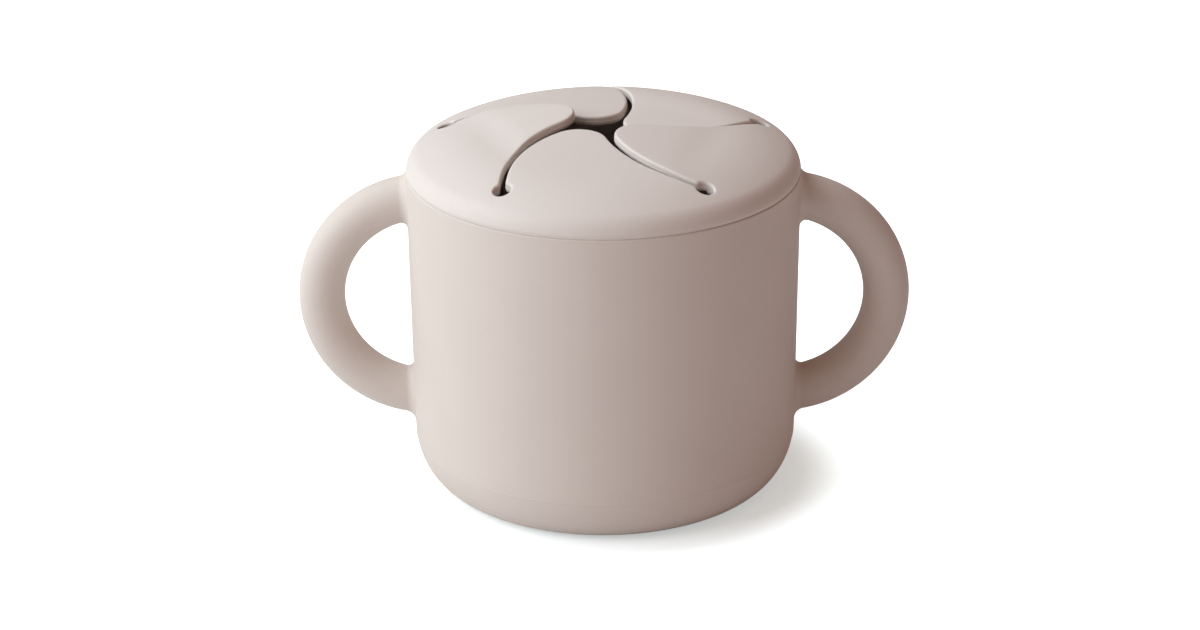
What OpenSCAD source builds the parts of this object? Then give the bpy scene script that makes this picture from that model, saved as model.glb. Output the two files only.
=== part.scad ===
// Toddler snack cup: a soft cup with two ring handles and a press-in lid.
// The middle of the lid is cut by five curved slits into five flaps, which a
// small hand pushes aside and which spring back to keep the snacks in.
// The origin is the middle of the underside, +Z is up and the handles lie
// along X. Sizes are in millimetres and angles in degrees.

/* [Cup] */
// Outer diameter of the cup at the seam under the lid
cup_rim_d = 90; // [84:0.5:100]
// How much narrower the wall's taper makes the cup at the table
cup_taper = 1.8; // [0:0.1:4]
// Height of the cup from the table to the seam under the lid
cup_h = 75.1; // [66:0.1:95]
// Thickness of the cup's wall
cup_wall = 2.8; // [2.4:0.1:4]
// Thickness of the cup's floor
floor_t = 3.4; // [2.4:0.2:5]
// Width of the rounded bottom edge, seen from below
foot_round_w = 9.7; // [5:0.1:14]
// Height of the rounded bottom edge, seen from the side
foot_round_h = 13.6; // [7:0.1:17]
// Radius between the floor and the wall inside the cup
inner_round = 9; // [4:0.5:12]
// Width of the flat rim that the lid rests on
rim_w = 2.7; // [2.4:0.1:3.4]
// Depth of the straight mouth that takes the lid's plug
mouth_depth = 13; // [11:0.5:16]

/* [Handles] */
// Radius of the ring that the middle of the handle's tube follows
handle_ring_r = 24.2; // [20:0.1:26]
// Diameter of the handle's tube
handle_tube_d = 10.6; // [7:0.1:12]
// Distance of the ring's centre from the cup's axis
handle_reach = 40.9; // [38:0.1:44]
// Depth of the ring's centre below the seam under the lid
handle_drop = 30.7; // [29.5:0.1:33]
// Radius of the fillet where a handle runs into the cup
handle_fillet = 2; // [1.5:0.1:3.4]

/* [Lid] */
// Radius of the lid's rounded shoulder
shoulder_r = 5.4; // [4.6:0.1:7]
// Angle that the shoulder turns through
shoulder_turn = 63; // [55:1:68]
// Radius of the gentler slope between the shoulder and the crown
slope_r = 41; // [34:0.5:48]
// Angle at which the slope runs into the crown
slope_end = 83; // [81:0.5:84.5]
// Thickness of the lid's dome and of its flaps
lid_t = 2.4; // [1.8:0.1:3]
// Gap in the seam between the lid and the rim
seam_gap = 0.1; // [0.05:0.05:0.3]
// Length of the plug that reaches down into the mouth
plug_h = 9.5; // [7:0.5:10.5]
// Thickness of the plug's wall
plug_t = 1.8; // [1.2:0.1:2]
// Clearance between the plug and the mouth
plug_gap = 0.5; // [0.4:0.05:0.8]
// Clearance between the sealing bead and the mouth
bead_gap = 0.1; // [0.05:0.05:0.2]
// Depth of the sealing bead's middle below the seam
bead_drop = 5; // [3:0.5:6]

/* [Flaps] */
// Radius of the circle that the slits' end holes lie on
slit_circle_r = 37.8; // [35:0.1:38]
// Diameter of the end holes
slit_hole_d = 4; // [3:0.1:4.5]
// Radius of the arc that each slit follows
slit_bow_r = 31.6; // [30:0.1:36]
// Width of the slits
slit_w = 1.3; // [0.5:0.05:1.5]
// Radius of the flaps' rounded tips
tip_r = 6.9; // [4.5:0.1:7.4]
// Clearance between a flap's root and its seat in the lid
hinge_gap = 0.1; // [0.05:0.05:0.3]
// Room that the root's round has beyond the thickness of the lid
hinge_room = 0.45; // [0.4:0.05:0.8]
// How far a flap's corner stands back from the end hole, to clear the lid
corner_gap = 0.4; // [0.3:0.05:1]
// Rest angle of the front flap, up is positive
front_set = 1.7; // [-5:0.1:7]
// Rest angle of the right flap, up is positive
right_set = 3; // [-5:0.1:7]
// Rest angle of the flap at the back right, up is positive
back_right_set = -3; // [-5:0.1:7]
// Rest angle of the flap at the back left, up is positive
back_left_set = -0.8; // [-5:0.1:7]
// Rest angle of the left flap, up is positive
left_set = 6.2; // [-5:0.1:7]

/* [Hidden] */

silicone = [0.80, 0.75, 0.70];
lid_silicone = [0.84, 0.80, 0.76];
flap_silicone = [0.87, 0.83, 0.79];

$fn = 128;
arc_steps = 8;
overshoot = 1;

// Cup: radii of its tapered wall, mouth and flat underside
cup_rim_r = cup_rim_d / 2;
cup_foot_r = cup_rim_r - cup_taper / 2;
mouth_r = cup_rim_r - rim_w;
handle_z = cup_h - handle_drop;

function wall_r(z) = cup_foot_r + (cup_rim_r - cup_foot_r) * z / cup_h;

// Points of an elliptical arc round a centre
function arc(centre, rx, rz, from, to) = [
    for (i = [0 : arc_steps])
        let (a = from + (to - from) * i / arc_steps)
        centre + [rx * cos(a), rz * sin(a)]
];

// Lid: centres of the three arcs of its profile, each tangent to the next
shoulder_c = [cup_rim_r - shoulder_r, cup_h];
slope_c = shoulder_c - (slope_r - shoulder_r) * [cos(shoulder_turn), sin(shoulder_turn)];
crown_r = slope_r + slope_c.x / cos(slope_end);
crown_c = [0, slope_c.y - (crown_r - slope_r) * sin(slope_end)];
lid_top_z = crown_c.y + crown_r;
plug_r = mouth_r - plug_gap;
plug_bore_r = plug_r - plug_t;
bead_r = plug_gap - bead_gap;

// Height of the lid's surface, or of the surface that lies inset below it
function crown_z(r, inset) = crown_c.y + sqrt(pow(crown_r - inset, 2) - r * r);
function slope_z(r, inset) = slope_c.y + sqrt(pow(slope_r - inset, 2) - pow(r - slope_c.x, 2));
function dome_z(r, inset) =
    r < (crown_r - inset) * cos(slope_end) ? crown_z(r, inset) : slope_z(r, inset);

// Flaps: five alike, one fifth of a turn apart, the first one in front
flap_step = 72;
front_angle = -90;
flap_half_angle = flap_step / 2;
hole_a = slit_circle_r * [cos(front_angle - flap_half_angle), sin(front_angle - flap_half_angle)];
hinge_y = hole_a.y;
chord_half = -hole_a.x;
hole_edge = chord_half - slit_hole_d / 2;
root_half = hole_edge - corner_gap;

// The root's round is centred in the height that the curved lid takes up
// along the straight hinge line between two end holes
root_top_z = dome_z(-hinge_y, 0);
root_low_z = dome_z(norm([hole_edge, hinge_y]), lid_t);
hinge_z = (root_top_z + root_low_z) / 2;
root_r = (root_top_z - root_low_z) / 2 + hinge_room;

// Slits: each arc runs from its end hole to the lid's centre and bows
// clockwise, seen from above, so a flap has one full side and one hollow side
slit_half_angle = asin(slit_circle_r / 2 / slit_bow_r);
full_side_angle = front_angle - flap_half_angle + 90 - slit_half_angle;
hollow_side_angle = full_side_angle + flap_step;
full_side_c = slit_bow_r * [cos(full_side_angle), sin(full_side_angle)];
hollow_side_c = slit_bow_r * [cos(hollow_side_angle), sin(hollow_side_angle)];
full_side_r = slit_bow_r - slit_w / 2;
hollow_side_r = slit_bow_r + slit_w / 2;

// On its hollow side a slit starts nearly along the hinge line, so the root
// ends where the slit is far enough away for it, and what lies between the
// slit and the hinge line beyond that stays on the lid as a small horn
seat_r = root_r + hinge_gap;
root_end = hollow_side_c.x
    - sqrt(pow(hollow_side_r, 2) - pow(hinge_y + seat_r - hollow_side_c.y, 2));
seat_end = root_end + hinge_gap;

// Tip: a circle inside the full side's arc and outside the hollow side's
tip_to_full = full_side_r - tip_r;
tip_to_hollow = hollow_side_r + tip_r;
side_gap = norm(hollow_side_c - full_side_c);
side_dir = (hollow_side_c - full_side_c) / side_gap;
tip_along = (pow(tip_to_full, 2) - pow(tip_to_hollow, 2) + pow(side_gap, 2)) / (2 * side_gap);
tip_across = sqrt(pow(tip_to_full, 2) - pow(tip_along, 2));
tip_c = full_side_c + tip_along * side_dir + tip_across * [-side_dir.y, side_dir.x];
tip_cut = 1.7 * tip_r;
tip_full_dir = (tip_c - full_side_c) / tip_to_full;
tip_hollow_dir = (hollow_side_c - tip_c) / tip_to_hollow;
tip_out = -tip_c / norm(tip_c) * tip_r;

// Outline of the whole cup, without its hollow
module cup_outline() {
    foot_c = [wall_r(foot_round_h) - foot_round_w, foot_round_h];
    polygon(concat(
        [[0, 0]],
        arc(foot_c, foot_round_w, foot_round_h, -90, 0),
        [[cup_rim_r, cup_h], [0, cup_h]]
    ));
}

// Outline of the hollow inside the cup, up through its mouth
module hollow_outline() {
    ledge_z = cup_h - mouth_depth;
    round_z = floor_t + inner_round;
    round_c = [wall_r(round_z) - cup_wall - inner_round, round_z];
    polygon(concat(
        [[0, floor_t]],
        arc(round_c, inner_round, inner_round, -90, 0),
        [[wall_r(ledge_z) - cup_wall, ledge_z]],
        [[mouth_r, ledge_z + mouth_r - wall_r(ledge_z) + cup_wall]],
        [[mouth_r, cup_h + overshoot], [0, cup_h + overshoot]]
    ));
}

module cup_form() {
    rotate_extrude() cup_outline();
}

module cup() {
    color(silicone)
    difference() {
        cup_form();
        rotate_extrude() hollow_outline();
    }
}

// Fillet where the tube meets the wall: a trumpet along X, sunk by half of
// what the round wall falls away from its flat mouth in front and behind,
// with a skirt that slopes back into the wall there
module handle_trumpet() {
    tuck = 0.15;
    mouth = handle_tube_d / 2 - tuck + handle_fillet;
    wall_fall = pow(mouth, 2) / cup_rim_d;
    skirt_w = 1.5;
    skirt_slope = 30;
    buried = 2;
    translate([-wall_fall / 2, 0, 0])
    rotate([0, 90, 0])
    rotate_extrude()
    difference() {
        polygon([
            [0, -buried], [mouth + skirt_w, -buried],
            [mouth + skirt_w, -skirt_w * tan(skirt_slope)],
            [mouth, 0], [mouth, handle_fillet], [0, handle_fillet]
        ]);
        translate([mouth, handle_fillet]) circle(r = handle_fillet);
    }
}

// Ring handle on the +X side, cut off at the cup's wall and at the seam
module handle() {
    difference() {
        union() {
            translate([handle_reach, 0, handle_z])
            rotate([90, 0, 0])
            rotate_extrude()
            translate([handle_ring_r, 0])
            circle(d = handle_tube_d);
            for (side = [-1, 1]) {
                root_x = wall_r(handle_z + side * handle_ring_r);
                mid_x = root_x + handle_fillet / 2 - handle_reach;
                root_z = handle_z + side * sqrt(pow(handle_ring_r, 2) - pow(mid_x, 2));
                translate([root_x, 0, root_z]) handle_trumpet();
            }
        }
        cup_form();
        translate([0, 0, cup_h]) cylinder(r = handle_reach + handle_ring_r, h = handle_drop);
    }
}

module right_handle() {
    color(silicone) handle();
}

module left_handle() {
    color(silicone) mirror([1, 0, 0]) handle();
}

// Outline under the lid's surface, or under the surface inset below it
module dome_outline(inset) {
    polygon(concat(
        [[0, cup_h + seam_gap], [cup_rim_r - inset, cup_h + seam_gap]],
        [for (p = arc(shoulder_c, shoulder_r - inset, shoulder_r - inset, 0, shoulder_turn))
            if (p.y > cup_h + seam_gap) p],
        arc(slope_c, slope_r - inset, slope_r - inset, shoulder_turn, slope_end),
        arc(crown_c, crown_r - inset, crown_r - inset, slope_end, 90)
    ));
}

// Half section of the lid: thin dome, solid rim, and the plug with its bead
module lid_section() {
    difference() {
        dome_outline(0);
        intersection() {
            dome_outline(lid_t);
            square([plug_bore_r, lid_top_z]);
        }
        square([plug_bore_r, cup_h + seam_gap + overshoot]);
    }
    translate([plug_bore_r, cup_h - plug_h]) square([plug_t, plug_h + 2 * seam_gap]);
    translate([plug_r, cup_h - bead_drop]) circle(r = bead_r, $fn = 48);
}

// The dome alone, a shell of even thickness
module dome_shell() {
    rotate_extrude()
    intersection() {
        difference() {
            dome_outline(0);
            dome_outline(lid_t);
        }
        square([plug_bore_r, lid_top_z + overshoot]);
    }
}

// Round bar along the front flap's hinge line
module hinge_bar(r, from, to) {
    translate([from, hinge_y, hinge_z])
    rotate([0, 90, 0])
    cylinder(r = r, h = to - from);
}

// End hole beside the front flap's full side
module end_hole(r) {
    translate([hole_a.x, hole_a.y, cup_h])
    cylinder(r = r, h = lid_top_z - cup_h + overshoot, $fn = 48);
}

// Plan of the opening that the five flaps fill, with a horn at each corner
module window() {
    difference() {
        rotate(front_angle + flap_half_angle) circle(r = slit_circle_r, $fn = 5);
        for (i = [0 : 4])
            rotate(i * flap_step) horn();
    }
}

module horn() {
    difference() {
        translate([seat_end, hinge_y - overshoot]) square([chord_half - seat_end, slit_circle_r / 2]);
        translate(hollow_side_c) circle(r = hollow_side_r, $fn = 256);
    }
}

module lid() {
    color(lid_silicone)
    difference() {
        rotate_extrude() lid_section();
        translate([0, 0, cup_h - overshoot]) linear_extrude(height = lid_top_z) window();
        for (i = [0 : 4])
            rotate(i * flap_step) {
                hinge_bar(seat_r, -chord_half, seat_end);
                end_hole(slit_hole_d / 2);
            }
    }
}

// Plan of the front flap, from its hinge line to its rounded tip
module flap_outline() {
    difference() {
        intersection() {
            translate(full_side_c) circle(r = full_side_r, $fn = 256);
            translate([-slit_circle_r, hinge_y]) square([slit_circle_r + root_end, slit_circle_r]);
        }
        translate(hollow_side_c) circle(r = hollow_side_r, $fn = 256);
        difference() {
            polygon([tip_c, tip_c + tip_cut * tip_full_dir, tip_out, tip_c + tip_cut * tip_hollow_dir]);
            translate(tip_c) circle(r = tip_r);
        }
    }
}

// One flap of the dome: its plan cut out of the shell, and a round root
module flap_blank() {
    difference() {
        intersection() {
            dome_shell();
            union() {
                translate([0, 0, cup_h]) linear_extrude(height = lid_top_z - cup_h + overshoot) flap_outline();
                hinge_bar(root_r, -root_half, root_end);
            }
        }
        end_hole(slit_hole_d / 2 + corner_gap);
    }
}

// Flap in its place round the lid, turned about its hinge line to its rest
module flap(place, rest) {
    color(flap_silicone)
    rotate(place * flap_step)
    translate([0, hinge_y, hinge_z])
    rotate([rest, 0, 0])
    translate([0, -hinge_y, -hinge_z])
    flap_blank();
}

module front_flap() { flap(0, front_set); }
module right_flap() { flap(1, right_set); }
module back_right_flap() { flap(2, back_right_set); }
module back_left_flap() { flap(3, back_left_set); }
module left_flap() { flap(4, left_set); }

cup();
left_handle();
right_handle();
lid();
front_flap();
right_flap();
back_right_flap();
back_left_flap();
left_flap();
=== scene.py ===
# Toddler snack cup: a soft silicone cup with two ring handles and a press-in
# lid that five curved slits cut into springy flaps. Each section makes one
# moulding, in millimetres until its mesh is stored in metres.
import math

import bmesh
import bpy
import numpy as np
from mathutils import Matrix, Vector
from mathutils.geometry import delaunay_2d_cdt


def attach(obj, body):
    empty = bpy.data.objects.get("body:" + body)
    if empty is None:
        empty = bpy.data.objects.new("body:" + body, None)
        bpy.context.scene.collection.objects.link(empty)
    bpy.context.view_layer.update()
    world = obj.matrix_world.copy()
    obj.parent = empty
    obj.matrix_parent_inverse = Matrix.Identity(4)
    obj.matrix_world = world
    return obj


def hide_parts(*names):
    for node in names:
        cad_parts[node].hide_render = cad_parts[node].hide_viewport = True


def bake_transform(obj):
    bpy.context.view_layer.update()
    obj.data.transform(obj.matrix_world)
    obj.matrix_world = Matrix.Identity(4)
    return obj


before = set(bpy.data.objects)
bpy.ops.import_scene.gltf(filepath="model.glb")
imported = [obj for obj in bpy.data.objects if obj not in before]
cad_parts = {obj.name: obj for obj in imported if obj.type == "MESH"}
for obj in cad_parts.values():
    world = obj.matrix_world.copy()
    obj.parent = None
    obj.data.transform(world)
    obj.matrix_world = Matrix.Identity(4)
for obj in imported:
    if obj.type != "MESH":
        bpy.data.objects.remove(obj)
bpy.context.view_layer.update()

# Cup: one moulding of matte silicone, dyed through, with a tapered wall, a
# rounded foot, a flat rim and a straight mouth. A fine raised parting line
# runs round it above the foot.
CUP_RIM_R = 45.0
CUP_FOOT_R = 44.1
CUP_H = 75.1
CUP_WALL = 2.8
WALL_TAPER = (CUP_RIM_R - CUP_FOOT_R) / CUP_H
FLOOR_T = 3.4
FOOT_W = 9.7
FOOT_H = 13.6
INNER_ROUND = 9.0
MOUTH_R = 42.3
MOUTH_DEPTH = 13.0
RIM_EDGE = 0.35
PARTING_Z = 11.2
PARTING_OUT = 0.07
PARTING_HALF = 0.28
COLUMNS = 288
LONGEST_STEP = 2.5
END_STEP = 0.12
CUP_SHADE = (0.66, 0.585, 0.53)


def noise(tree, at, scale, detail=3.0):
    """A noise texture's value, from 0 to 1, at so many cells per metre."""
    node = tree.nodes.new("ShaderNodeTexNoise")
    node.inputs["Scale"].default_value = scale
    node.inputs["Detail"].default_value = detail
    tree.links.new(at, node.inputs["Vector"])
    return node.outputs["Fac"]


def remap(tree, value, low, high):
    """The noise value stretched so that its middle band runs from low to high."""
    node = tree.nodes.new("ShaderNodeMapRange")
    node.inputs["From Min"].default_value = 0.3
    node.inputs["From Max"].default_value = 0.7
    node.inputs["To Min"].default_value = low
    node.inputs["To Max"].default_value = high
    tree.links.new(value, node.inputs["Value"])
    return node.outputs["Result"]


def silicone_grain():
    """Node group of the silicone's surface: the shade times one plus Mottle
    times the sum of soft clouds and fine specks, a roughness that wanders a
    little, and a normal bumped by a powdery noise of the given Depth."""
    group = bpy.data.node_groups.new("silicone_grain", "ShaderNodeTree")
    for label, kind in (("Shade", "Color"), ("Mottle", "Float"), ("Depth", "Float")):
        group.interface.new_socket(label, in_out="INPUT", socket_type="NodeSocket" + kind)
    for label, kind in (("Color", "Color"), ("Roughness", "Float"), ("Normal", "Vector")):
        group.interface.new_socket(label, in_out="OUTPUT", socket_type="NodeSocket" + kind)
    given = group.nodes.new("NodeGroupInput")
    result = group.nodes.new("NodeGroupOutput")
    place = group.nodes.new("ShaderNodeTexCoord").outputs["Object"]
    clouds = remap(group, noise(group, place, scale=55), low=-1.0, high=1.0)
    specks = remap(group, noise(group, place, scale=1400, detail=2.0), low=-0.7, high=0.7)
    both = group.nodes.new("ShaderNodeMath")
    both.operation = "ADD"
    group.links.new(clouds, both.inputs[0])
    group.links.new(specks, both.inputs[1])
    share = group.nodes.new("ShaderNodeMath")
    share.operation = "MULTIPLY_ADD"
    share.inputs[2].default_value = 1.0
    group.links.new(both.outputs[0], share.inputs[0])
    group.links.new(given.outputs["Mottle"], share.inputs[1])
    dyed = group.nodes.new("ShaderNodeVectorMath")
    dyed.operation = "SCALE"
    group.links.new(given.outputs["Shade"], dyed.inputs[0])
    group.links.new(share.outputs[0], dyed.inputs["Scale"])
    group.links.new(dyed.outputs[0], result.inputs["Color"])
    matte = remap(group, noise(group, place, scale=700), low=0.56, high=0.66)
    group.links.new(matte, result.inputs["Roughness"])
    powder = group.nodes.new("ShaderNodeBump")
    powder.inputs["Distance"].default_value = 0.00003
    group.links.new(given.outputs["Depth"], powder.inputs["Strength"])
    group.links.new(noise(group, place, scale=3200, detail=4.0), powder.inputs["Height"])
    group.links.new(powder.outputs[0], result.inputs["Normal"])
    return group


grain = silicone_grain()


def silicone(name, shade, mottle=0.012, depth=0.35):
    """Silicone of one linear RGB shade: matte, with a faint powdery sheen."""
    made = bpy.data.materials.new(name)
    made.use_nodes = True
    tree = made.node_tree
    body = tree.nodes["Principled BSDF"]
    body.inputs["Specular IOR Level"].default_value = 0.35
    body.inputs["IOR"].default_value = 1.41
    body.inputs["Sheen Weight"].default_value = 0.12
    body.inputs["Sheen Roughness"].default_value = 0.5
    body.inputs["Sheen Tint"].default_value = (*shade, 1.0)
    look = tree.nodes.new("ShaderNodeGroup")
    look.node_tree = grain
    look.inputs["Shade"].default_value = (*shade, 1.0)
    look.inputs["Mottle"].default_value = mottle
    look.inputs["Depth"].default_value = depth
    tree.links.new(look.outputs["Color"], body.inputs["Base Color"])
    tree.links.new(look.outputs["Roughness"], body.inputs["Roughness"])
    tree.links.new(look.outputs["Normal"], body.inputs["Normal"])
    return made


def wall_r(z):
    """Outer radius of the tapered wall at height z: the foot's radius and the
    height's share of the taper."""
    return CUP_FOOT_R + WALL_TAPER * np.asarray(z, float)


def arc(centre, radius, start, end, steps, height=None):
    """Profile points of an arc, both ends included, angles in degrees: the
    centre plus radius times cosine and height, or radius, times sine."""
    a = np.radians(np.linspace(start, end, steps + 1))
    return np.stack([centre[0] + radius * np.cos(a), centre[1] + (height or radius) * np.sin(a)], 1)


def spaced(line):
    """The profile with each long step split evenly into steps of at most the
    longest one, and with a further point close to both ends of the step."""
    out = [line[:1]]
    for a, b in zip(line[:-1], line[1:]):
        length = np.linalg.norm(b - a)
        share = np.linspace(0, 1, max(1, math.ceil(length / LONGEST_STEP)) + 1)[1:]
        if length > 1.0:
            share = np.union1d(share, [END_STEP / length, 1 - END_STEP / length])
        out.append(a + (b - a) * share[:, None])
    return np.concatenate(out)


def with_ridge(line, z, height, half):
    """The profile pushed out along its normal by a smooth bump centred at z:
    height times the squared cosine of the distance, zero beyond half."""
    step = np.gradient(line, axis=0)
    out = np.stack([step[:, 1], -step[:, 0]], 1) / np.linalg.norm(step, axis=1)[:, None]
    near = np.clip((line[:, 1] - z) / half, -1, 1)
    return line + out * (height * np.cos(near * math.pi / 2) ** 2)[:, None]


def turned(profile):
    """Grid of points, profile rows by columns, of a profile turned round Z."""
    a = np.linspace(0, 2 * math.pi, COLUMNS, endpoint=False)
    r, z = profile[:, :1], profile[:, 1:]
    return np.stack([r * np.cos(a), r * np.sin(a), z + 0 * a], -1)


def skin(rows, columns, first=0):
    """Faces of a grid whose columns close up, numbered row by row."""
    i = np.arange(rows - 1)[:, None] * columns + np.arange(columns)
    j = np.arange(rows - 1)[:, None] * columns + (np.arange(columns) + 1) % columns
    return first + np.stack([i, j, j + columns, i + columns], -1).reshape(-1, 4)


def moulding(name, material, points, faces, hidden=()):
    """A smooth mesh piece from millimetre points; the numbers in hidden are
    the faces that lie against another piece, set off by sharp edges. Points
    that coincide are welded, and loose rows at a pole close up."""
    mesh = bpy.data.meshes.new(name)
    mesh.from_pydata((np.asarray(points) * 0.001).tolist(), [], [list(f) for f in faces])
    smooth = np.ones(len(mesh.polygons), bool)
    smooth[list(hidden)] = False
    mesh.polygons.foreach_set("use_smooth", smooth)
    work = bmesh.new()
    work.from_mesh(mesh)
    bmesh.ops.remove_doubles(work, verts=work.verts, dist=2e-6)
    bmesh.ops.dissolve_degenerate(work, edges=work.edges, dist=1e-8)
    work.to_mesh(mesh)
    work.free()
    smooth = np.empty(len(mesh.polygons), bool)
    sides = np.empty(len(mesh.polygons), int)
    edge = np.empty(len(mesh.loops), int)
    mesh.polygons.foreach_get("use_smooth", smooth)
    mesh.polygons.foreach_get("loop_total", sides)
    mesh.loops.foreach_get("edge_index", edge)
    hidden_sides = np.bincount(edge, np.repeat(~smooth, sides), len(mesh.edges))
    mesh.edges.foreach_set("use_edge_sharp", hidden_sides == 1)
    mesh.materials.append(material)
    piece = bpy.data.objects.new(name, mesh)
    bpy.context.scene.collection.objects.link(piece)
    return piece


cup_silicone = silicone("cup_silicone", CUP_SHADE)
foot_c = (float(wall_r(FOOT_H)) - FOOT_W, FOOT_H)
foot = arc(foot_c, FOOT_W, -90, 0, steps=150, height=FOOT_H)
ledge_z = CUP_H - MOUTH_DEPTH
ledge_r = float(wall_r(ledge_z)) - CUP_WALL
round_z = FLOOR_T + INNER_ROUND
inner_c = (float(wall_r(round_z)) - CUP_WALL - INNER_ROUND, round_z)
cup_rows = turned(spaced(np.concatenate([
    [[0.0, 0.0]],
    with_ridge(foot, PARTING_Z, PARTING_OUT, PARTING_HALF),
    arc((CUP_RIM_R - RIM_EDGE, CUP_H - RIM_EDGE), RIM_EDGE, 0, 90, steps=8),
    arc((MOUTH_R + RIM_EDGE, CUP_H - RIM_EDGE), RIM_EDGE, 90, 180, steps=8),
    [[MOUTH_R, ledge_z + MOUTH_R - ledge_r], [ledge_r, ledge_z]],
    arc(inner_c, INNER_ROUND, 0, -90, steps=24),
    [[0.0, FLOOR_T]],
])))
cup = moulding("cup_moulding", cup_silicone, cup_rows.reshape(-1, 3), skin(len(cup_rows), COLUMNS))
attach(cup, "cup")
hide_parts("cup")

# Handles: a ring tube on each side, moulded on the cup in the same silicone,
# which flares into the wall with a soft fillet at both roots.
RING_R = 24.2
TUBE_R = 5.3
RING_X = 40.9
RING_DROP = 30.7
RING_Z = CUP_H - RING_DROP
ROOT_FILLET = 2.0
ROOT_DEPTH = 1.2
LINES = 72


def ring_point(a, phi):
    """Point on the tube: a is the angle round the ring, from its +X side, and
    phi the angle round the tube, from the outside of the ring."""
    r = RING_R + TUBE_R * np.cos(phi)
    return np.stack([RING_X + r * np.cos(a), TUBE_R * np.sin(phi) + 0 * a, RING_Z + r * np.sin(a)], -1)


def entry(side, phi, free=0.6, sunk=2.2):
    """Angles round the ring where the tube's lines enter the cup's wall, above
    the ring's middle or below it by side: halved between a free and a sunk
    angle until they meet."""
    low, high = np.full(len(phi), free), np.full(len(phi), sunk)
    for _ in range(50):
        mid = (low + high) / 2
        p = ring_point(side * mid, phi)
        clear = np.hypot(p[:, 0], p[:, 1]) > wall_r(p[:, 2])
        low, high = np.where(clear, mid, low), np.where(clear, high, mid)
    return low


def root_rows(side, phi, flare=12):
    """Rows of one root, out of the tube and into the wall, and the angles
    where they leave the tube. Each line is a circular arc that leaves the tube
    along its own direction and lands on the round wall along the wall's
    surface; two more rows close the root inside the wall."""
    found = entry(side, phi)
    hit = ring_point(side * found, phi)
    leave = side * (found - ROOT_FILLET / (RING_R + TUBE_R * np.cos(phi)))
    start = ring_point(leave, phi)
    along_tube = ring_point(leave + side * 1e-4, phi) - start
    along_tube /= np.linalg.norm(along_tube, axis=1)[:, None]
    theta = np.arctan2(hit[:, 1], hit[:, 0]) + ROOT_FILLET * np.sin(phi) / CUP_RIM_R
    z = np.minimum(hit[:, 2] + side * ROOT_FILLET * np.cos(phi), CUP_H - RIM_EDGE)
    landed = np.stack([wall_r(z) * np.cos(theta), wall_r(z) * np.sin(theta), z], 1)
    out = np.stack([np.cos(theta), np.sin(theta), 0 * theta - WALL_TAPER], 1)
    reach = ((landed - start) * out).sum(1) / (along_tube * out).sum(1)
    corner = start + along_tube * reach[:, None]
    t = np.linspace(0, 1, flare + 1)[:, None, None]
    pull = 2 * math.sqrt(0.5) * t * (1 - t)
    rows = ((1 - t) ** 2 * start + pull * corner + t ** 2 * landed) / ((1 - t) ** 2 + pull + t ** 2)
    buried = landed - out * ROOT_DEPTH
    core = np.broadcast_to(buried.mean(0), buried.shape)
    return np.concatenate([rows, buried[None], core[None]]), leave


def handle_rows(along=72):
    """Rows of the right handle: its upper root, the tube and its lower root."""
    phi = np.linspace(0, 2 * math.pi, LINES, endpoint=False)
    upper, upper_leave = root_rows(1, phi)
    lower, lower_leave = root_rows(-1, phi)
    share = np.linspace(0, 1, along + 1)[1:-1, None]
    tube = ring_point(upper_leave + (lower_leave - upper_leave) * share, phi)
    return np.concatenate([upper[::-1], tube, lower])


ring_rows = handle_rows()
ring_skin = skin(len(ring_rows), LINES)
buried_faces = np.r_[0:2 * LINES, len(ring_skin) - 2 * LINES:len(ring_skin)]
for side, name in ((-1, "left_handle"), (1, "right_handle")):
    outward = ring_skin if side < 0 else ring_skin[:, ::-1]
    handle_points = (ring_rows * (side, 1, 1)).reshape(-1, 3)
    handle = moulding(name + "_moulding", cup_silicone, handle_points, outward, buried_faces)
    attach(handle, "cup")
    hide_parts(name)

# Lid: a domed silicone moulding whose solid rim sits on the cup's, with a thin
# plug and a sealing bead under it. Its middle opens for the five flaps, along
# a nearly straight line at each root and round the outer half of each end hole.
SHOULDER_R = 5.4
SHOULDER_TURN = 63.0
SHOULDER_LOW = 8.0
SLOPE_R = 41.0
SLOPE_END = 83.0
LID_T = 2.4
SEAM_GAP = 0.02
SEAM_STEP = 0.3
SEAM_EDGE = 0.06
PLUG_H = 9.5
PLUG_R = 41.8
PLUG_T = 1.8
PLUG_EDGE = 0.5
BEAD_R = 0.4
BEAD_DROP = 5.0
HOLE_CIRCLE_R = 37.8
HOLE_R = 2.0
SLIT_BOW_R = 31.6
SLIT_W = 1.3
TIP_R = 6.9
CORNER_R = 1.0
TOP_EDGE = 0.55
LID_LOW_EDGE = 0.1
ROOT_SHARE_X = 15.0
ROOT_STEPS = 40
TOP_SHEET_R = 41.2
FIFTH = math.radians(72)
LID_SHADE = (0.70, 0.635, 0.585)

slope_from = math.radians(SHOULDER_TURN)
crown_from = math.radians(SLOPE_END)
shoulder_c = np.array([CUP_RIM_R - SHOULDER_R, CUP_H])
slope_c = shoulder_c - (SLOPE_R - SHOULDER_R) * np.array([math.cos(slope_from), math.sin(slope_from)])
crown_r = SLOPE_R + slope_c[0] / math.cos(crown_from)
crown_z = slope_c[1] - (crown_r - SLOPE_R) * math.sin(crown_from)


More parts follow.
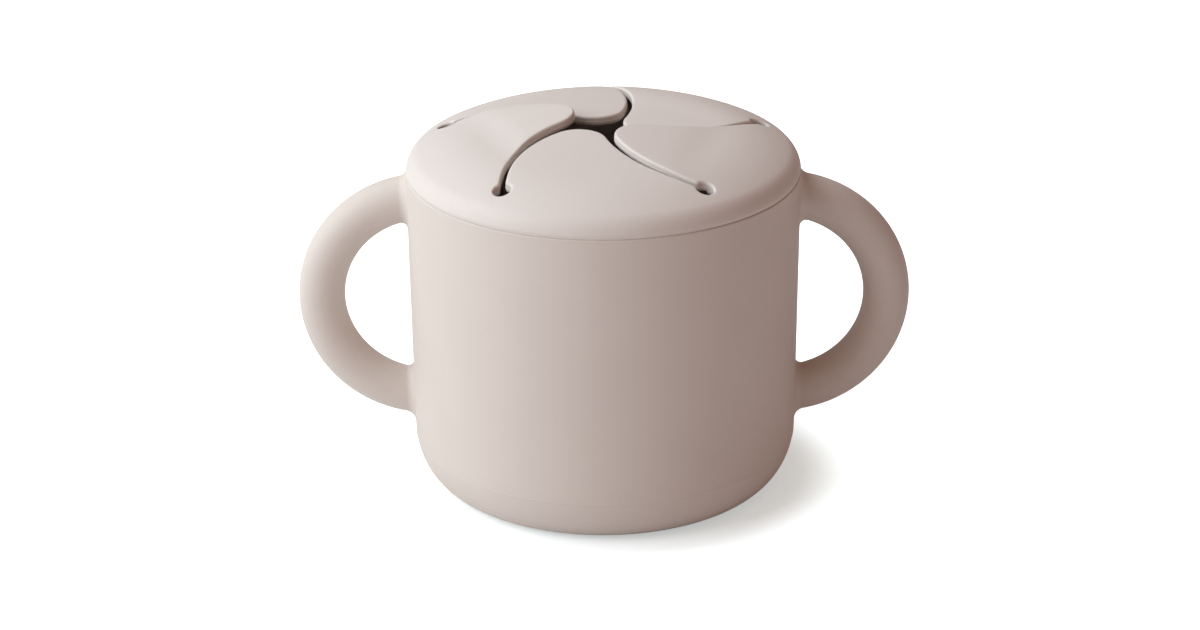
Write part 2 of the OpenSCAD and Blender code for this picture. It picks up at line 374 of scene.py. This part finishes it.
def dome_z(x, y, inset=0.0):
    """Height of the lid's dome, or of the surface inset below it: a flat
    crown, a gentler slope and a round shoulder, each tangent to the next."""
    r = np.hypot(x, y)
    crown = crown_z + np.sqrt((crown_r - inset) ** 2 - r ** 2)
    slope = slope_c[1] + np.sqrt(np.maximum((SLOPE_R - inset) ** 2 - (r - slope_c[0]) ** 2, 0))
    shoulder = shoulder_c[1] + np.sqrt(np.maximum((SHOULDER_R - inset) ** 2 - (r - shoulder_c[0]) ** 2, 0))
    crown_end = (crown_r - inset) * math.cos(crown_from)
    slope_end = slope_c[0] + (SLOPE_R - inset) * math.cos(slope_from)
    return np.where(r < crown_end, crown, np.where(r < slope_end, slope, shoulder))


def swung(p, angle):
    """Plan points turned round the cup's axis."""
    c, s = math.cos(angle), math.sin(angle)
    return np.asarray(p) @ np.array([[c, s], [-s, c]])


def meet(c0, r0, c1, r1, side):
    """The point on the given side where two circles meet."""
    d = c1 - c0
    gap = np.linalg.norm(d)
    along = (r0 ** 2 - r1 ** 2 + gap ** 2) / (2 * gap)
    across = math.sqrt(r0 ** 2 - along ** 2)
    return c0 + (along * d + side * across * np.array([-d[1], d[0]])) / gap


# Circles of the front flap's outline: full side, hollow side, tip, end holes
# and the small rounds between a side and a hole. An inset only changes radii.
hole_a = HOLE_CIRCLE_R * np.array([math.cos(math.radians(-126)), math.sin(math.radians(-126))])
hole_b = hole_a * (-1, 1)
full_a = math.radians(-36) - math.asin(HOLE_CIRCLE_R / 2 / SLIT_BOW_R)
full_c = SLIT_BOW_R * np.array([math.cos(full_a), math.sin(full_a)])
full_r = SLIT_BOW_R - SLIT_W / 2
hollow_c = swung(full_c, FIFTH)
hollow_r = SLIT_BOW_R + SLIT_W / 2
tip_c = meet(full_c, full_r - TIP_R, hollow_c, hollow_r + TIP_R, 1)
flap_corner = meet(full_c, full_r - CORNER_R, hole_a, HOLE_R + CORNER_R, -1)
horn_corner = meet(hollow_c, hollow_r + CORNER_R, hole_b, HOLE_R + CORNER_R, -1)
root_q = np.array([ROOT_SHARE_X, hollow_c[1] - math.sqrt(hollow_r ** 2 - (hollow_c[0] - ROOT_SHARE_X) ** 2)])
root_dir = (root_q - hole_a) / np.linalg.norm(root_q - hole_a)
root_up = np.array([-root_dir[1], root_dir[0]])


def bearing(v):
    """Angle of a plan direction from the +X side."""
    return math.atan2(v[1], v[0])


def sweep(centre, radius, start, end, steps):
    """Arc in plan from one bearing to the other by the shorter way, without
    its last point."""
    delta = (end - start + math.pi) % (2 * math.pi) - math.pi
    a = start + delta * np.arange(steps) / steps
    return centre + radius * np.stack([np.cos(a), np.sin(a)], 1)


def long_sweep(centre, radius, start, end, steps):
    """Arc in plan, counterclockwise from one bearing to the other, without
    its last point."""
    delta = (end - start) % (2 * math.pi)
    a = start + delta * np.arange(steps) / steps
    return centre + radius * np.stack([np.cos(a), np.sin(a)], 1)


def root_ends(d):
    """The two ends of a flap's root line where the edge is inset by d: on its
    end hole's circle and on the hollow side's."""
    to_c = hollow_c - hole_a
    along = to_c @ root_dir
    reach = along - math.sqrt((hollow_r + d) ** 2 - (to_c @ to_c - along ** 2))
    return hole_a + (HOLE_R + d) * root_dir, hole_a + reach * root_dir


def root_line(d):
    """The root line's points, evenly spaced, without its last one."""
    start, end = root_ends(d)
    return start + (end - start) * (np.arange(ROOT_STEPS) / ROOT_STEPS)[:, None]


def lid_edge(d):
    """One fifth of the lid's opening, in front, inset by d: root line, the
    short horn along the hollow side's slit, and round the end hole."""
    side = bearing(root_ends(d)[1] - hollow_c)
    to_side = bearing(hollow_c - horn_corner)
    to_hole = bearing(hole_b - horn_corner)
    return np.concatenate([
        root_line(d),
        sweep(hollow_c, hollow_r + d, side, to_side + math.pi, steps=10),
        sweep(horn_corner, CORNER_R - d, to_side, to_hole, steps=12),
        long_sweep(hole_b, HOLE_R + d, to_hole + math.pi, bearing(swung(root_dir, FIFTH)), steps=44),
    ])


def lid_opening(d):
    """The whole opening: the front fifth turned round the cup's axis."""
    return np.concatenate([swung(lid_edge(d), k * FIFTH) for k in range(5)])


def edge_rings(edge_of, low_edge, ridge_out=0.0, ridge_depth=1.3, ridge_half=0.15):
    """Rings down the cut edge of the sheet: a quarter circle for the rounded
    top edge, the plain wall, a smooth bump for its fine ridge, and a quarter
    circle for the rounded lower edge."""
    a = np.radians(np.linspace(0, 90, 9))
    b = np.radians(np.linspace(0, 90, 7))
    bump = np.linspace(-1, 1, 7)
    inset = np.concatenate([
        TOP_EDGE * (1 - np.sin(a)),
        [0, 0],
        -ridge_out * np.cos(bump * math.pi / 2) ** 2,
        low_edge * (1 - np.cos(b)),
    ])
    depth = np.concatenate([
        TOP_EDGE * (1 - np.cos(a)),
        [0.7, 1.0],
        ridge_depth + ridge_half * bump,
        LID_T - low_edge * (1 - np.sin(b)),
    ])
    rings = []
    for d, h in zip(inset, depth):
        p = edge_of(d)
        top, bottom = dome_z(p[:, 0], p[:, 1]), dome_z(p[:, 0], p[:, 1], LID_T)
        rings.append(np.column_stack([p, top - h * (top - bottom) / LID_T]))
    return np.array(rings)


def inside(points, ring):
    """Whether each plan point lies inside the closed ring, by crossings."""
    a, b = ring, np.roll(ring, -1, 0)
    x, y = points[:, :1], points[:, 1:]
    cross = (a[:, 1] > y) != (b[:, 1] > y)
    slope = (b[:, 0] - a[:, 0]) / np.where(b[:, 1] == a[:, 1], 1e-12, b[:, 1] - a[:, 1])
    return (cross & (x < a[:, 0] + (y - a[:, 1]) * slope)).sum(1) % 2 == 1


def clear_of(points, ring, least, batch=500):
    """Whether each plan point is at least so far from the ring's segments,
    worked out for a batch of points at a time to save memory."""
    a, b = ring, np.roll(ring, -1, 0)
    ab = b - a
    keep = np.ones(len(points), bool)
    for part in np.array_split(np.arange(len(points)), max(1, len(points) // batch)):
        ap = points[part][:, None] - a
        t = np.clip((ap * ab).sum(2) / np.maximum((ab * ab).sum(1), 1e-12), 0, 1)
        keep[part] = np.linalg.norm(ap - ab * t[..., None], axis=2).min(1) >= least
    return keep


def dome_sheet(outer, hole, step, inset):
    """Points and triangles of the dome's surface inside the outer ring and
    outside the hole's: rings and an even triangular lattice between them,
    joined by a constrained Delaunay triangulation."""
    n = int((np.abs(outer).max() + step) / step) + 1
    gx, gy = np.meshgrid(np.arange(-n, n + 1), np.arange(-n, n + 1))
    lattice = np.stack([(gx + 0.5 * (gy % 2)) * step, gy * step * math.sqrt(0.75)], -1).reshape(-1, 2)
    least = 0.6 * step
    lattice = lattice[inside(lattice, outer)]
    lattice = lattice[clear_of(lattice, outer, least)]
    rings = [outer]
    if hole is not None:
        lattice = lattice[~inside(lattice, hole)]
        lattice = lattice[clear_of(lattice, hole, least)]
        rings.append(hole)
    edges, first = [], 0
    for ring in rings:
        i = np.arange(len(ring))
        edges += np.stack([first + i, first + (i + 1) % len(ring)], 1).tolist()
        first += len(ring)
    flat = np.concatenate(rings + [lattice])
    made = delaunay_2d_cdt([Vector(p) for p in flat.tolist()], edges, [], 1, 1e-7)
    plan = np.array([tuple(v) for v in made[0]])
    tris = np.array(made[2])
    centre = plan[tris].mean(1)
    good = inside(centre, outer)
    if hole is not None:
        good &= ~inside(centre, hole)
    tris = tris[good]
    # Exact places for the rings' own points, which the tool stores rounded
    source = np.array([o[0] if o else -1 for o in made[3]])
    plan = np.where(source[:, None] >= 0, flat[np.maximum(source, 0)], plan)
    a, b, c = plan[tris[:, 0]], plan[tris[:, 1]], plan[tris[:, 2]]
    area = (b[:, 0] - a[:, 0]) * (c[:, 1] - a[:, 1]) - (b[:, 1] - a[:, 1]) * (c[:, 0] - a[:, 0])
    tris = np.where((area < 0)[:, None], tris[:, ::-1], tris)
    return np.column_stack([plan, dome_z(plan[:, 0], plan[:, 1], inset)]), tris


def circle(radius):
    """Closed plan circle, one point per column of the turned rim."""
    a = np.linspace(0, 2 * math.pi, COLUMNS, endpoint=False)
    return radius * np.stack([np.cos(a), np.sin(a)], 1)


lid_silicone = silicone("lid_silicone", LID_SHADE)
sheet_turn = math.degrees(math.acos((TOP_SHEET_R - slope_c[0]) / SLOPE_R))
seam_z = CUP_H + SEAM_GAP
seam_r = CUP_RIM_R - SEAM_STEP
plug_bore = PLUG_R - PLUG_T
plug_low = CUP_H - PLUG_H + PLUG_EDGE
rim = turned(spaced(np.concatenate([
    arc(slope_c, SLOPE_R, sheet_turn, SHOULDER_TURN, steps=3),
    arc(shoulder_c, SHOULDER_R, SHOULDER_TURN, SHOULDER_LOW, steps=24)[1:],
    arc((seam_r - SEAM_EDGE, seam_z + SEAM_EDGE), SEAM_EDGE, 0, -90, steps=6),
    [[PLUG_R, seam_z]],
    arc((PLUG_R, CUP_H - BEAD_DROP), BEAD_R, 90, -90, steps=12),
    arc((PLUG_R - PLUG_EDGE, plug_low), PLUG_EDGE, 0, -90, steps=6),
    arc((plug_bore + PLUG_EDGE, plug_low), PLUG_EDGE, -90, -180, steps=6),
    [[plug_bore, float(dome_z(plug_bore, 0, LID_T))]],
])))
opening = edge_rings(lid_opening, LID_LOW_EDGE)
top, top_faces = dome_sheet(circle(TOP_SHEET_R), opening[0][:, :2], step=1.15, inset=0.0)
low, low_faces = dome_sheet(circle(plug_bore), opening[-1][:, :2], step=1.6, inset=LID_T)
edge_n = opening.shape[1]
rim_n = rim.shape[0] * COLUMNS
top_n = rim_n + opening.shape[0] * edge_n
low_n = top_n + len(top)
rim_faces = skin(rim.shape[0], COLUMNS)[:, ::-1]
edge_faces = skin(opening.shape[0], edge_n, rim_n)
at_roots = np.arange(len(edge_faces)) % (edge_n // 5) < ROOT_STEPS
lid_faces = rim_faces.tolist() + edge_faces.tolist()
lid_faces += (top_faces + top_n).tolist() + (low_faces[:, ::-1] + low_n).tolist()
lid_points = np.concatenate([rim.reshape(-1, 3), opening.reshape(-1, 3), top, low])
lid = moulding("lid_moulding", lid_silicone, lid_points, lid_faces, np.flatnonzero(at_roots) + len(rim_faces))
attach(lid, "lid")
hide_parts("lid")

# Flaps: five curved tongues of the same sheet, with soft edges and a fine
# ridge along the cut. Each bends from its root line and rests at its own
# angle, so the slits stand open by different amounts.
HINGE_Y = hole_a[1]
HINGE_Z = 81.699
BEND = 11.0
FLAP_LOW_EDGE = 0.85
FLAP_RIDGE = 0.06
REST_ANGLES = {
    "front_flap": 1.7,
    "right_flap": 3.0,
    "back_right_flap": -3.0,
    "back_left_flap": -0.8,
    "left_flap": 6.2,
}


def flap_edge(d):
    """Closed plan of the front flap inset by d: root line, hollow side, tip,
    full side, corner round and its share of the end hole."""
    side = bearing(root_ends(d)[1] - hollow_c)
    tip_in = bearing(tip_c - hollow_c)
    tip_out = bearing(tip_c - full_c)
    to_corner = bearing(flap_corner - full_c)
    to_hole = bearing(hole_a - flap_corner)
    return np.concatenate([
        root_line(d),
        sweep(hollow_c, hollow_r + d, side, tip_in, steps=46),
        long_sweep(tip_c, TIP_R - d, tip_in + math.pi, tip_out, steps=40),
        sweep(full_c, full_r - d, tip_out, to_corner, steps=54),
        sweep(flap_corner, CORNER_R - d, to_corner, to_hole, steps=12),
        sweep(hole_a, HOLE_R + d, to_hole + math.pi, bearing(root_dir), steps=14),
    ])


def bent(points, angle):
    """Points of the front flap turned about its hinge line, by a share of the
    angle that grows smoothly from the root line to the end of the bend."""
    t = np.clip((points[:, :2] - hole_a) @ root_up / BEND, 0, 1)
    a = math.radians(angle) * t * t * (3 - 2 * t)
    y, z = points[:, 1] - HINGE_Y, points[:, 2] - HINGE_Z
    return np.column_stack([
        points[:, 0],
        HINGE_Y + y * np.cos(a) - z * np.sin(a),
        HINGE_Z + y * np.sin(a) + z * np.cos(a),
    ])


cut = edge_rings(flap_edge, FLAP_LOW_EDGE, FLAP_RIDGE)
flap_top, flap_top_faces = dome_sheet(cut[0][:, :2], None, step=1.0, inset=0.0)
flap_low, flap_low_faces = dome_sheet(cut[-1][:, :2], None, step=1.4, inset=LID_T)
cut_faces = skin(cut.shape[0], cut.shape[1])[:, ::-1]
cut_n = cut.shape[0] * cut.shape[1]
flap_points = np.concatenate([cut.reshape(-1, 3), flap_top, flap_low])
flap_faces = cut_faces.tolist() + (flap_top_faces + cut_n).tolist()
flap_faces += (flap_low_faces[:, ::-1] + cut_n + len(flap_top)).tolist()
root_faces = np.flatnonzero(np.arange(len(cut_faces)) % cut.shape[1] < ROOT_STEPS)
for k, (name, rest) in enumerate(REST_ANGLES.items()):
    placed = bent(flap_points, rest)
    placed[:, :2] = swung(placed[:, :2], k * FIFTH)
    flap = moulding(name + "_moulding", lid_silicone, placed, flap_faces, root_faces)
    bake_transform(flap)
    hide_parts(name)

# Floor and backdrop: one wide sheet of white paper with a painted glow that only the camera sees.
# The glow is weaker near the cup and stronger farther out. Away from the cup it is painted light over the
# floor's shadow; round the cup it leaves painted shade where the contact shadow shows.
FLOOR_HALF = 6.0
SHADOW_FROM = 0.044
SHADOW_TO = 0.060
floor_mesh = bpy.data.meshes.new("floor")
corners = [(x * FLOOR_HALF, y * FLOOR_HALF, 0) for x, y in ((-1, -1), (1, -1), (1, 1), (-1, 1))]
floor_mesh.from_pydata(corners, [], [(0, 1, 2, 3)])
floor = bpy.data.objects.new("floor", floor_mesh)
bpy.context.scene.collection.objects.link(floor)
paper = bpy.data.materials.new("white_paper_painted_glow")
paper.use_nodes = True
tree = paper.node_tree
paper_bsdf = tree.nodes["Principled BSDF"]
paper_bsdf.inputs["Base Color"].default_value = (0.85, 0.85, 0.85, 1)
paper_bsdf.inputs["Roughness"].default_value = 0.9
paper_bsdf.inputs["Specular IOR Level"].default_value = 0.1
# Tint of the painted glow, a little cyan, so that the floor's shadow reads neutral grey.
paper_bsdf.inputs["Emission Color"].default_value = (0.90, 1.0, 1.0, 1)
spot = tree.nodes.new("ShaderNodeTexCoord")
away = tree.nodes.new("ShaderNodeVectorMath")
away.operation = "LENGTH"
tree.links.new(spot.outputs["Object"], away.inputs[0])
# Painted glow strength by distance from the floor's centre under the cup: 0.45 near the cup (painted shade),
# 0.95 from SHADOW_TO outward (painted light).
painted_glow_by_distance = tree.nodes.new("ShaderNodeMapRange")
painted_glow_by_distance.interpolation_type = "SMOOTHSTEP"
painted_glow_by_distance.inputs["From Min"].default_value = SHADOW_FROM
painted_glow_by_distance.inputs["From Max"].default_value = SHADOW_TO
painted_glow_by_distance.inputs["To Min"].default_value = 0.45
painted_glow_by_distance.inputs["To Max"].default_value = 0.95
tree.links.new(away.outputs["Value"], painted_glow_by_distance.inputs["Value"])
# Only camera rays see the painted glow.
rays = tree.nodes.new("ShaderNodeLightPath")
painted_glow_for_camera = tree.nodes.new("ShaderNodeMath")
painted_glow_for_camera.operation = "MULTIPLY"
tree.links.new(rays.outputs["Is Camera Ray"], painted_glow_for_camera.inputs[0])
tree.links.new(painted_glow_by_distance.outputs["Result"], painted_glow_for_camera.inputs[1])
tree.links.new(painted_glow_for_camera.outputs[0], paper_bsdf.inputs["Emission Strength"])
floor_mesh.materials.append(paper)

# Light: two cool soft boxes on the left, one a little in front and one behind,
# and a warm, dim room that the camera sees as white.
ROOM_LIGHT = (0.292, 0.184, 0.152, 1)
BOX_SIZE = 1.0
BOX_DISTANCE = 1.3
BOX_AIM = Vector((0, 0, 0.04))
world = bpy.data.worlds.new("white_room")
bpy.context.scene.world = world
world.use_nodes = True
tree = world.node_tree
rays = tree.nodes.new("ShaderNodeLightPath")
seen = tree.nodes.new("ShaderNodeMix")
seen.data_type = "RGBA"
room, backdrop = [socket for socket in seen.inputs if socket.type == "RGBA"]
room.default_value = ROOM_LIGHT
backdrop.default_value = (1, 1, 1, 1)
mixed = [socket for socket in seen.outputs if socket.type == "RGBA"][0]
tree.links.new(rays.outputs["Is Camera Ray"], seen.inputs["Factor"])
tree.links.new(mixed, tree.nodes["Background"].inputs["Color"])


def soft_box(name, azimuth, elevation, watts, tint):
    """A square lamp aimed at the cup; azimuth 0 is in front, 90 on the right."""
    a, e = math.radians(azimuth), math.radians(elevation)
    out = Vector((math.sin(a) * math.cos(e), -math.cos(a) * math.cos(e), math.sin(e)))
    lamp = bpy.data.objects.new(name, bpy.data.lights.new(name, "AREA"))
    lamp.data.shape = "SQUARE"
    lamp.data.size = BOX_SIZE
    lamp.data.energy = watts
    lamp.data.color = tint
    lamp.location = BOX_AIM + out * BOX_DISTANCE
    lamp.rotation_mode = "QUATERNION"
    lamp.rotation_quaternion = out.to_track_quat("Z", "Y")
    bpy.context.scene.collection.objects.link(lamp)


soft_box("key_soft_box", azimuth=-68, elevation=34, watts=14.5, tint=(0.84, 0.94, 1.0))
soft_box("rear_soft_box", azimuth=-120, elevation=50, watts=9.1, tint=(0.76, 0.92, 1.0))

# Camera: in front of the cup and above it, fitted to the photo's silhouette,
# seam and foot line.
PITCH = math.radians(22.769)
ROLL = math.radians(-0.415)
AIM = Vector((-0.000996, 0, 0.038861))
CAMERA_DISTANCE = 0.81499
LENS = 105.55
forward = Vector((0, math.cos(PITCH), -math.sin(PITCH)))
right = Vector((1, 0, 0))
up = right.cross(forward)
across = right * math.cos(ROLL) + up * math.sin(ROLL)
upright = up * math.cos(ROLL) - right * math.sin(ROLL)
camera = bpy.data.objects.new("camera", bpy.data.cameras.new("camera"))
camera.data.lens = LENS
camera.data.clip_start, camera.data.clip_end = 0.05, 20
facing = Matrix((across, upright, -forward)).transposed().to_4x4()
camera.matrix_world = Matrix.Translation(AIM - forward * CAMERA_DISTANCE) @ facing
bpy.context.scene.collection.objects.link(camera)
bpy.context.scene.camera = camera
bpy.context.scene.view_settings.view_transform = "Standard"
